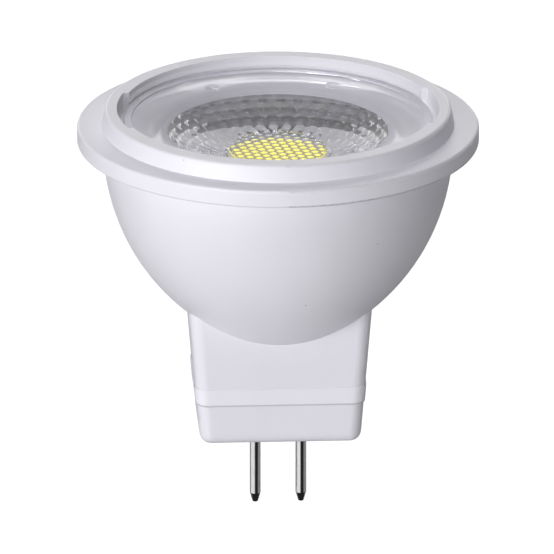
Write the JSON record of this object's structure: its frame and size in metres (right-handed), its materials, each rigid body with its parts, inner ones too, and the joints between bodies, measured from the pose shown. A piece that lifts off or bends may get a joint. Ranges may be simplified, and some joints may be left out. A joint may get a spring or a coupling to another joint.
{
  "type": "spotlight bulb",
  "caption": "Reflector-shaped LED spotlight lamp with a stepped front ring, a dished clear lens with a honeycomb centre, a tapered neck and a two-pin base.",
  "frame": {"origin": "on the underside of the base, midway between the two contact pins", "axes": "+Z along the lamp's axis towards the light; the pins stand in a row along X and point along -Z"},
  "size_m": [0.035, 0.035, 0.0365],
  "materials": {
    "housing_plastic": "satin",
    "base_plastic": "satin",
    "pin_metal": "polished",
    "lens_clear": "polished",
    "cup_aluminium": "satin",
    "pad_silicone": "matte",
    "board_white": "satin",
    "dam_silicone": "satin",
    "phosphor_yellow": "satin",
    "screw_steel": "satin",
    "board_green": "satin",
    "component_black": "matte",
    "ceramic_tan": "satin",
    "resistor_black": "satin",
    "can_sleeve": "satin",
    "ferrite_grey": "matte",
    "coil_copper": "gloss",
    "wire_white": "satin",
    "wire_black": "satin",
    "wire_red": "satin"
  },
  "bodies": {
    "root": {"housing": "housing_plastic", "base_cap": "base_plastic", "pin_left": "pin_metal", "pin_right": "pin_metal", "lens": "lens_clear", "heat_sink_cup": "cup_aluminium", "thermal_pad": "pad_silicone", "led_board": "board_white", "led_dam": "dam_silicone", "led_phosphor": "phosphor_yellow", "board_screws": "screw_steel", "driver_board": "board_green", "bridge_rectifier": "component_black", "driver_chip": "component_black", "freewheel_diode": "component_black", "ceramic_capacitors": "ceramic_tan", "chip_resistors": "resistor_black", "smoothing_capacitor": "can_sleeve", "inductor_core": "ferrite_grey", "inductor_coil": "coil_copper", "pin_wire_left": "wire_white", "pin_wire_right": "wire_white", "led_wire_negative": "wire_black", "led_wire_positive": "wire_red"}
  },
  "joints": []
}
